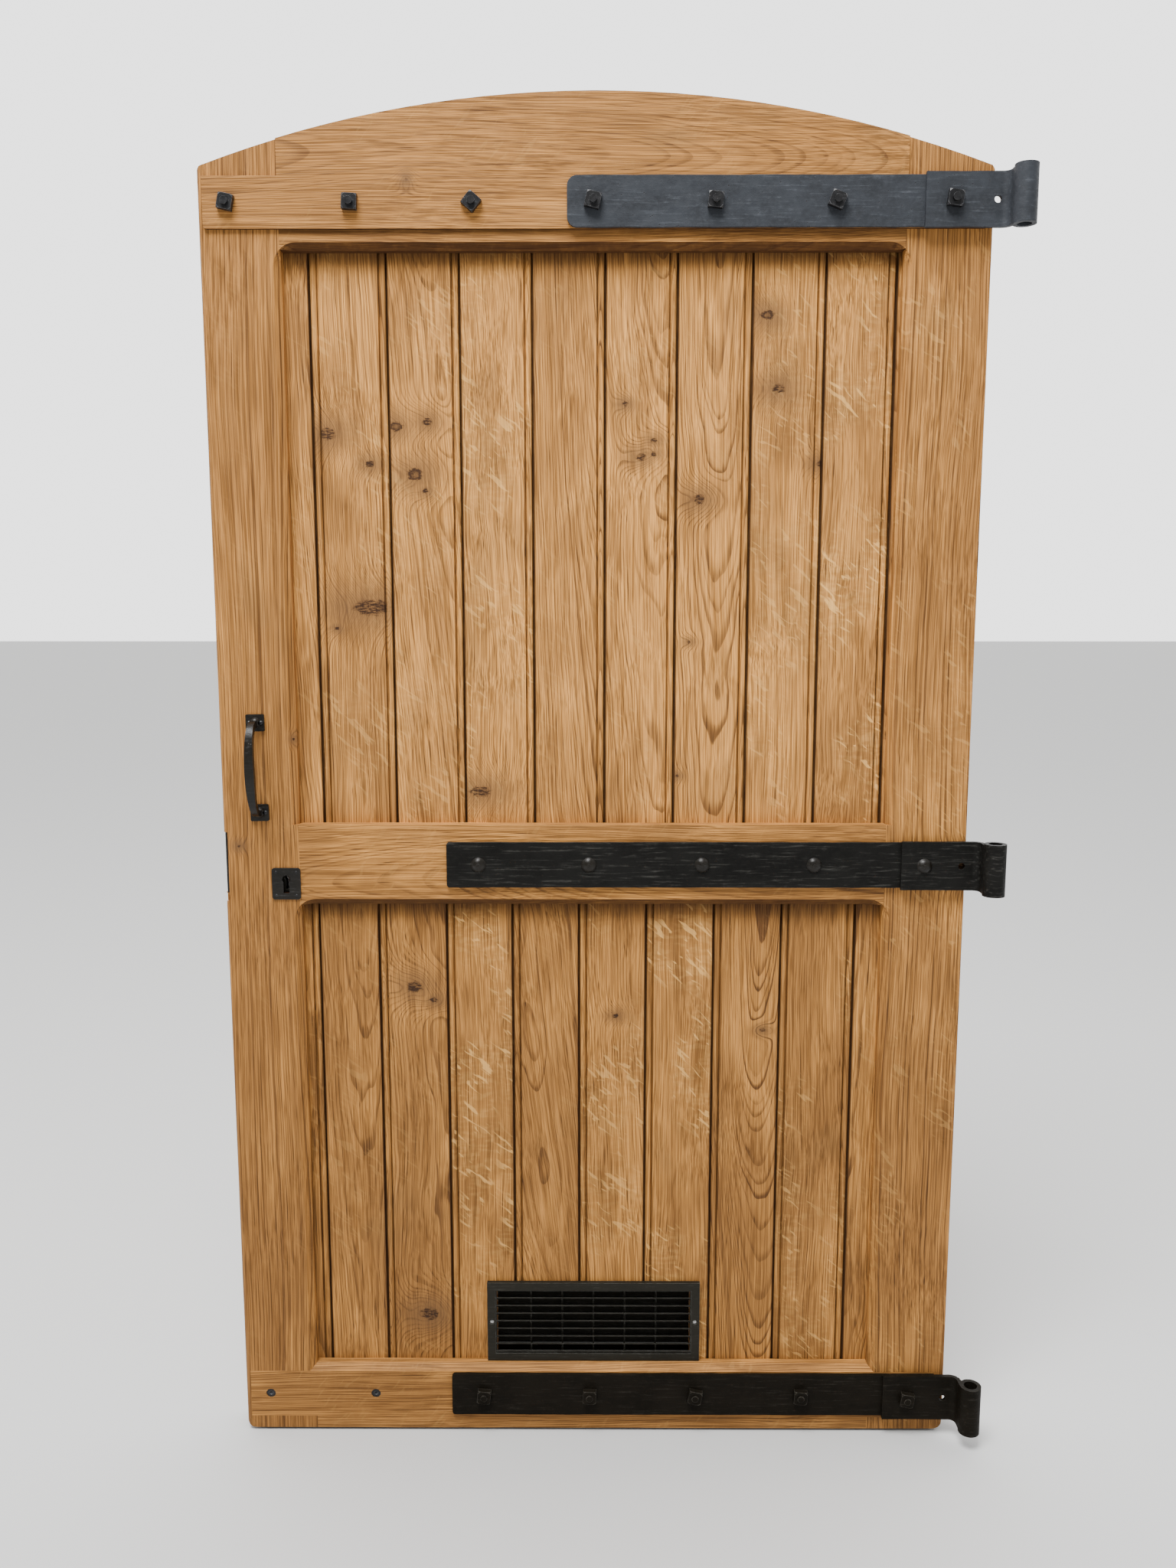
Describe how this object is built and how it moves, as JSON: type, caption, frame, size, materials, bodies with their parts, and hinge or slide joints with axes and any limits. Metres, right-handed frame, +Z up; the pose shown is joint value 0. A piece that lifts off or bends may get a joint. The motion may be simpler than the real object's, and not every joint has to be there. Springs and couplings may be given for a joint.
{
  "type": "arched wooden door leaf",
  "caption": "Arched oak door leaf with beaded board panels, iron strap hinges with rolled eyes, pull handle, mortice deadlock and louvred vent.",
  "frame": {"origin": "on the hinge axis, at the middle of the bottom hinge eye's bore", "axes": "+X from the lock side to the hinge side, +Y from the front of the leaf into its thickness, +Z up along the hinge axis"},
  "size_m": [1.1055, 0.1125, 1.913],
  "materials": {
    "oak_frame": "planed oak, clear oiled, straight grain with ray fleck",
    "oak_boards": "planed oak boards, clear oiled, cathedral grain, knots and ray fleck",
    "slate_iron": "forged iron, slate grey waxed scale with worn edges",
    "black_iron": "forged iron, matt brown-black with scale marks",
    "fixing_iron": "blackened bolts and nuts, rubbed on their edges",
    "furniture_iron": "black beeswaxed iron, rubbed bright on the high spots",
    "lock_steel": "grey painted sheet steel",
    "bright_steel": "plain bright steel",
    "lever_brass": "stamped brass",
    "vent_paint": "dark bronze-brown painted metal"
  },
  "bodies": {
    "leaf": {"lock_stile": "oak_frame", "hinge_stile": "oak_frame", "top_rail": "oak_frame", "middle_rail": "oak_frame", "bottom_rail": "oak_frame", "upper_board_1": "oak_boards", "upper_board_2": "oak_boards", "upper_board_3": "oak_boards", "upper_board_4": "oak_boards", "upper_board_5": "oak_boards", "upper_board_6": "oak_boards", "upper_board_7": "oak_boards", "upper_board_8": "oak_boards", "upper_board_9": "oak_boards", "upper_board_10": "oak_boards", "lower_board_1": "oak_boards", "lower_board_2": "oak_boards", "lower_board_3": "oak_boards", "lower_board_4": "oak_boards", "lower_board_5": "oak_boards", "lower_board_6": "oak_boards", "lower_board_7": "oak_boards", "lower_board_8": "oak_boards", "lower_board_9": "oak_boards", "lower_board_10": "oak_boards", "top_strap": "slate_iron", "top_eye_plate": "slate_iron", "middle_strap": "black_iron", "middle_eye_plate": "black_iron", "bottom_strap": "black_iron", "bottom_eye_plate": "black_iron", "top_bolts": "fixing_iron", "top_nuts": "fixing_iron", "middle_bolts": "fixing_iron", "middle_nuts": "fixing_iron", "bottom_bolts": "fixing_iron", "bottom_nuts": "fixing_iron", "foot_screws": "fixing_iron", "pull_handle": "furniture_iron", "handle_screws": "furniture_iron", "front_escutcheon": "furniture_iron", "rear_escutcheon": "furniture_iron", "escutcheon_pins": "furniture_iron", "forend": "furniture_iron", "lock_case": "lock_steel", "lock_cap": "lock_steel", "lever_pivot": "bright_steel", "forend_screws": "bright_steel", "vent_screws": "bright_steel", "vent_grille": "vent_paint", "rear_vent_grille": "vent_paint"},
    "deadbolt": {"deadbolt": "bright_steel"},
    "lock_levers": {"lock_levers": "lever_brass"}
  },
  "joints": [
    {"name": "deadbolt_slide", "type": "slide", "parent": "leaf", "child": "deadbolt", "axis": [-1, 0, 0], "range_m": [0, 0.014]},
    {"name": "lever_lift", "type": "hinge", "parent": "leaf", "child": "lock_levers", "pos_m": [-1.044, 0.05, 0.8315], "axis": [0, -1, 0], "range_deg": [0, 4], "stiffness_Nm_per_rad": 0.03, "springref_deg": -8.59}
  ]
}
